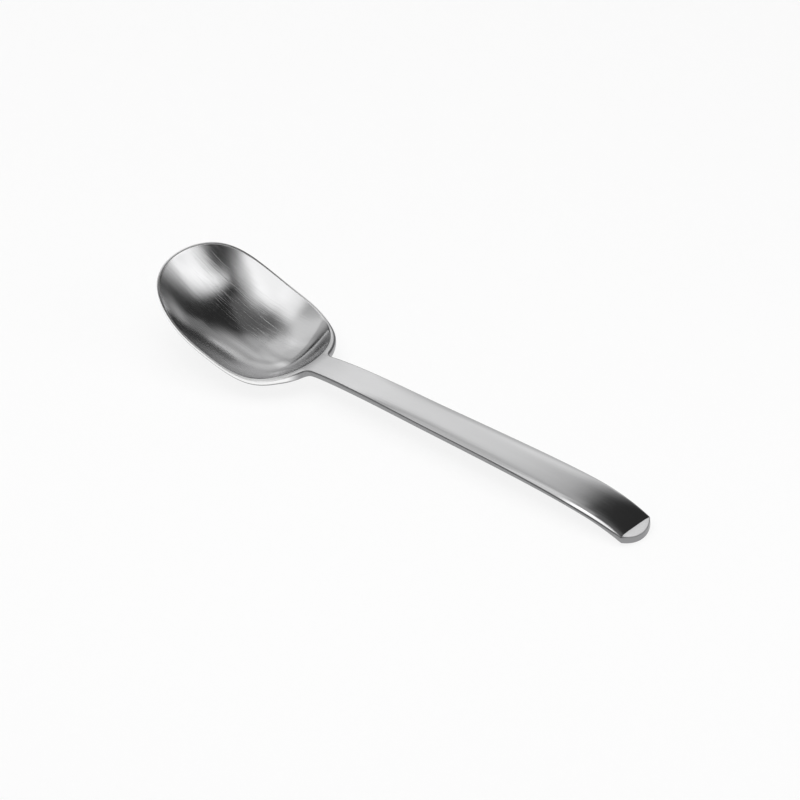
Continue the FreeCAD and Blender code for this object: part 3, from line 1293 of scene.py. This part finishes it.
    def note_rise(self, body: bpy.types.Object) -> None:
        """Keeps each vertex's place between the underside, 0, and the top, 1, as an attribute.

        Args:
            body: The spoon.
        """
        mesh = body.data
        places = np.empty(len(mesh.vertices) * 3)
        mesh.vertices.foreach_get("co", places)
        x, y, z = places.reshape(-1, 3).T
        x = x + self.form.overall_length / 2
        foot, head = self.form.under_height(x, y), self.form.top_height(x, y)
        share = np.clip((z - foot) / (head - foot), 0.0, 1.0)
        rise = mesh.attributes.new("wall_rise", "FLOAT", "POINT")
        rise.data.foreach_set("value", share.astype(np.float32))

    def unwrap(self, body: bpy.types.Object) -> None:
        """Lays the UV map along the spoon, with u along its length.

        Args:
            body: The spoon.
        """
        mesh = body.data
        for old in list(mesh.uv_layers):
            mesh.uv_layers.remove(old)
        layer = mesh.uv_layers.new(name="lengthwise")
        for loop in mesh.loops:
            x, y, z = mesh.vertices[loop.vertex_index].co
            across = y + self.map_slant * z
            layer.data[loop.index].uv = (x / MAP_SIZE + 0.5, across / MAP_SIZE + 0.5)

    def fit_in(self, body: bpy.types.Object) -> None:
        """Gives the spoon its place in the part.

        Args:
            body: The spoon.
        """
        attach(body, "root")
        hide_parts("spoon")


# ---------------------------------------------------------------------------------------------
# The studio
# ---------------------------------------------------------------------------------------------


def toward(azimuth: float, elevation: float) -> Vector:
    """Gives a direction.

    Args:
        azimuth: Degrees round from +X towards +Y.
        elevation: Degrees up from level.

    Returns:
        The direction, one metre long.
    """
    turn, lift = math.radians(azimuth), math.radians(elevation)
    reach = math.cos(lift)
    return Vector((math.cos(turn) * reach, math.sin(turn) * reach, math.sin(lift)))


@dataclass(frozen=True)
class SoftLight:
    """A white glow that fades out towards the edges of a panel."""

    name: str
    width: float
    height: float
    level: float
    feather: float

    def make(self) -> bpy.types.Material:
        """Builds the node material.

        Returns:
            The material.
        """
        material = bpy.data.materials.new(self.name)
        material.use_nodes = True
        board = NodeBoard(material.node_tree)
        place = board.add("ShaderNodeTexCoord")
        parts = board.add("ShaderNodeSeparateXYZ")
        board.join(place.outputs["Object"], parts.inputs[0])
        across = self.fade(board, parts.outputs["X"], self.width / 2)
        upright = self.fade(board, parts.outputs["Y"], self.height / 2)
        facing = board.add("ShaderNodeNewGeometry")
        front = board.maths("SUBTRACT", 1.0, facing.outputs["Backfacing"])
        share = board.maths("MULTIPLY", board.maths("MULTIPLY", across, upright), front)
        glow = board.add("ShaderNodeEmission", Color=(1.0, 1.0, 1.0, 1.0))
        board.join(board.maths("MULTIPLY", share, self.level), glow.inputs["Strength"])
        clear = board.add("ShaderNodeBsdfTransparent")
        both = board.add("ShaderNodeAddShader")
        board.join(glow.outputs[0], both.inputs[0])
        board.join(clear.outputs[0], both.inputs[1])
        output = board.add("ShaderNodeOutputMaterial")
        board.join(both.outputs[0], output.inputs["Surface"])
        return material

    def fade(
        self, board: NodeBoard, place: bpy.types.NodeSocket, half: float
    ) -> bpy.types.NodeSocket:
        """Fades the glow out across one pair of edges.

        Args:
            board: The material's nodes.
            place: The distance from the panel's middle line.
            half: Half the panel's size in that direction.

        Returns:
            The socket with the share that is left.
        """
        away = board.maths("ABSOLUTE", place)
        return board.fade(away, half + self.feather, half - self.feather)


@dataclass(frozen=True)
class Softbox:
    """One flat studio light that faces the spoon, with feathered edges."""

    name: str
    azimuth: float
    elevation: float
    distance: float
    width: float
    height: float
    level: float
    turn: float
    feather: float

    def make(self) -> bpy.types.Object:
        """Hangs the light.

        Returns:
            The panel's object.
        """
        bpy.ops.object.select_all(action="DESELECT")
        bpy.ops.mesh.primitive_plane_add(size=1.0)
        panel = bpy.context.object
        panel.name = self.name
        panel.scale = (self.width + 2 * self.feather, self.height + 2 * self.feather, 1.0)
        bpy.ops.object.transform_apply(location=False, rotation=False, scale=True)
        level = toward(self.azimuth + 90, 0.0)
        away = toward(self.azimuth, self.elevation)
        facing = Matrix((-level, away.cross(level), -away)).transposed().to_4x4()
        turned = facing @ Matrix.Rotation(math.radians(-self.turn), 4, "Z")
        panel.matrix_world = Matrix.Translation(away * self.distance) @ turned
        panel.visible_camera = False
        panel.visible_shadow = False
        light = SoftLight(self.name, self.width, self.height, self.level, self.feather)
        panel.data.materials.append(light.make())
        panel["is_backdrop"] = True
        return panel


@dataclass(frozen=True)
class FloorFill:
    """A wide soft light overhead that lights the floor and doesn't show in the metal."""

    name: str = "floor_fill"
    height: float = 1.2
    size: float = 1.4
    level: float = 1.4

    def make(self) -> bpy.types.Object:
        """Hangs the light.

        Returns:
            The light's object.
        """
        light = bpy.data.lights.new(self.name, "AREA")
        light.shape = "SQUARE"
        light.size = self.size
        light.energy = self.level * math.pi * self.size**2
        lamp = bpy.data.objects.new(self.name, light)
        bpy.context.scene.collection.objects.link(lamp)
        lamp.location = (0.0, 0.0, self.height)
        lamp.visible_camera = False
        lamp.visible_glossy = False
        return lamp


@dataclass
class Studio:
    """The pale floor with its backdrop, the softboxes and the dim room around them."""

    floor_height: float
    floor_radius: float = 2.4
    backdrop_height: float = 0.16
    base_depth: float = 0.35
    base_wall_height: float = 0.3493
    base_glow_share: float = 0.97
    disc_sides: int = 96
    room_level: float = 0.027
    softboxes: tuple[Softbox, ...] = (
        Softbox("front_softbox", 276.5, 59.7, 0.400, 0.266, 0.326, 1.180, 67.4, 0.042),
        Softbox("right_softbox", 71.3, 25.1, 0.400, 1.197, 0.040, 1.150, -55.9, 0.050),
        Softbox("back_softbox", 150.0, 47.8, 0.400, 0.245, 0.306, 0.337, 23.3, 0.026),
        Softbox("low_softbox", 159.8, 8.6, 0.636, 0.165, 0.273, 2.399, 7.7, 0.063),
        Softbox("left_softbox", 207.9, 21.6, 0.424, 0.353, 1.097, 0.505, 4.0, 0.112),
        Softbox("far_softbox", 126.0, 21.3, 0.864, 0.573, 0.360, 0.574, 29.2, 0.069),
        Softbox("dim_back_panel", 100.1, 17.7, 0.892, 0.362, 0.425, 0.172, 4.7, 0.020),
        Softbox("front_right_panel", 323.2, 76.0, 0.409, 0.242, 0.090, 0.686, -58.4, 0.059),
        Softbox("top_panel", 106.2, 77.4, 0.766, 0.679, 0.415, 0.089, -43.6, 0.037),
        Softbox("dim_far_panel", 119.9, 39.1, 0.400, 0.143, 0.070, 0.992, 17.9, 0.097),
        Softbox("high_left_panel", 173.3, 61.8, 0.847, 0.695, 0.549, 0.250, 9.3, 0.020),
        Softbox("horizon_panel", 96.9, 10.7, 0.653, 0.278, 0.042, 0.265, -26.0, 0.037),
        Softbox("side_panel", 36.6, 35.8, 0.611, 0.406, 0.356, 0.520, -33.2, 0.034),
        Softbox("near_side_panel", 14.4, 29.5, 0.483, 0.397, 0.276, 1.234, 2.9, 0.080),
        Softbox("rear_left_panel", 238.0, 21.0, 0.620, 0.330, 0.230, 0.480, 0.0, 0.060),
        Softbox("rear_panel", 280.0, 21.0, 0.620, 0.330, 0.230, 0.700, 0.0, 0.060),
        Softbox("rear_right_panel", 322.0, 21.0, 0.620, 0.330, 0.230, 0.600, 0.0, 0.060),
    )

    def build(self) -> None:
        """Sets up the floor, the lights and the room."""
        self.lay_disc("studio_floor", self.floor_height, self.backdrop_height, PaleFloor())
        base_height = self.floor_height - self.base_depth
        under = PaleFloor("pale_base", glow_share=self.base_glow_share)
        self.lay_disc("studio_base", base_height, self.base_wall_height, under)
        for softbox in self.softboxes:
            softbox.make()
        FloorFill().make()
        self.dim_room()

    def lay_disc(self, name: str, height: float, wall: float, finish: PaleFloor) -> None:
        """Lays a round sheet and raises a wall at its edge.

        Args:
            name: The name of the new object.
            height: Where it lies.
            wall: The height of the wall.
            finish: Its finish.
        """
        bpy.ops.object.select_all(action="DESELECT")
        bpy.ops.mesh.primitive_circle_add(
            vertices=self.disc_sides,
            radius=self.floor_radius,
            fill_type="NGON",
            location=(0.0, 0.0, height),
        )
        disc = bpy.context.object
        disc.name = name
        bpy.ops.object.transform_apply(location=True, rotation=True, scale=True)
        bpy.ops.object.mode_set(mode="EDIT")
        bpy.ops.mesh.select_all(action="DESELECT")
        bpy.ops.mesh.select_mode(type="EDGE")
        mesh = bmesh.from_edit_mesh(disc.data)
        for edge in mesh.edges:
            edge.select = edge.is_boundary
        bmesh.update_edit_mesh(disc.data)
        move = {"value": (0.0, 0.0, wall)}
        bpy.ops.mesh.extrude_region_move(TRANSFORM_OT_translate=move)
        bpy.ops.object.mode_set(mode="OBJECT")
        disc.data.materials.append(finish.make())
        disc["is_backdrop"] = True

    def dim_room(self) -> None:
        """Fills the room around the lights with a dim even grey."""
        world = bpy.data.worlds.new("studio_room")
        bpy.context.scene.world = world
        world.use_nodes = True
        board = NodeBoard(world.node_tree)
        white = (1.0, 1.0, 1.0, 1.0)
        room = board.add("ShaderNodeBackground", Color=white, Strength=self.room_level)
        output = board.add("ShaderNodeOutputWorld")
        board.join(room.outputs["Background"], output.inputs["Surface"])


@dataclass(frozen=True)
class PhotoCamera:
    """The camera at the photograph's viewing angle, from so far that there is no perspective.

    Its azimuth is the angle from the front, -Y, round towards +X.
    """

    azimuth: float = 43.70
    elevation: float = 35.57
    roll: float = -3.66
    target: tuple[float, float, float] = (-0.0026, -0.00137, 0.01125)
    distance: float = 0.9
    view_width: float = 0.2580
    clip_range: tuple[float, float] = (0.01, 20.0)

    def make(self) -> bpy.types.Object:
        """Sets up the camera.

        Returns:
            The camera's object.
        """
        back = toward(self.azimuth - 90, self.elevation)
        level = toward(self.azimuth, 0.0)
        upright = back.cross(level)
        roll = math.radians(self.roll)
        right = math.cos(roll) * level + math.sin(roll) * upright
        up = math.cos(roll) * upright - math.sin(roll) * level
        data = bpy.data.cameras.new("studio_camera")
        data.type = "ORTHO"
        data.ortho_scale = self.view_width
        data.clip_start, data.clip_end = self.clip_range
        camera = bpy.data.objects.new("studio_camera", data)
        bpy.context.scene.collection.objects.link(camera)
        turn = Matrix((right, up, back)).transposed().to_4x4()
        camera.matrix_world = Matrix.Translation(Vector(self.target) + back * self.distance) @ turn
        bpy.context.scene.camera = camera
        return camera


def main() -> None:
    """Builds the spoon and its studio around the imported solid."""
    logging.basicConfig(level=logging.INFO, format="%(name)s: %(message)s")
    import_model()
    solid_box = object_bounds()
    form = SpoonForm()
    spoon = Spoon(
        form=form,
        plan=SpoonPlan(form),
        steel=BrushedSteel("brushed_steel"),
        # The rim's tint of 0.94 is brighter than the steel's own: a painted reflection.
        edge_steel=RimSteel("rim_steel", tint=(0.94, 0.94, 0.94), roughness=0.3),
        bevel_steel=BrushedSteel("bevel_steel", tint=(0.7, 0.7, 0.705), roughness=0.24),
    )
    body = spoon.build()
    LOG.info("%s: %d faces, eased and brushed", body.name, len(body.data.polygons))
    Studio(floor_height=solid_box[0].z).build()
    LOG.info("studio: floor, backdrop and softboxes")
    camera = PhotoCamera().make()
    LOG.info("%s: parallel view %.3f m wide", camera.name, camera.data.ortho_scale)
    bpy.context.scene.view_settings.view_transform = "Standard"


if __name__ == "__main__":
    main()
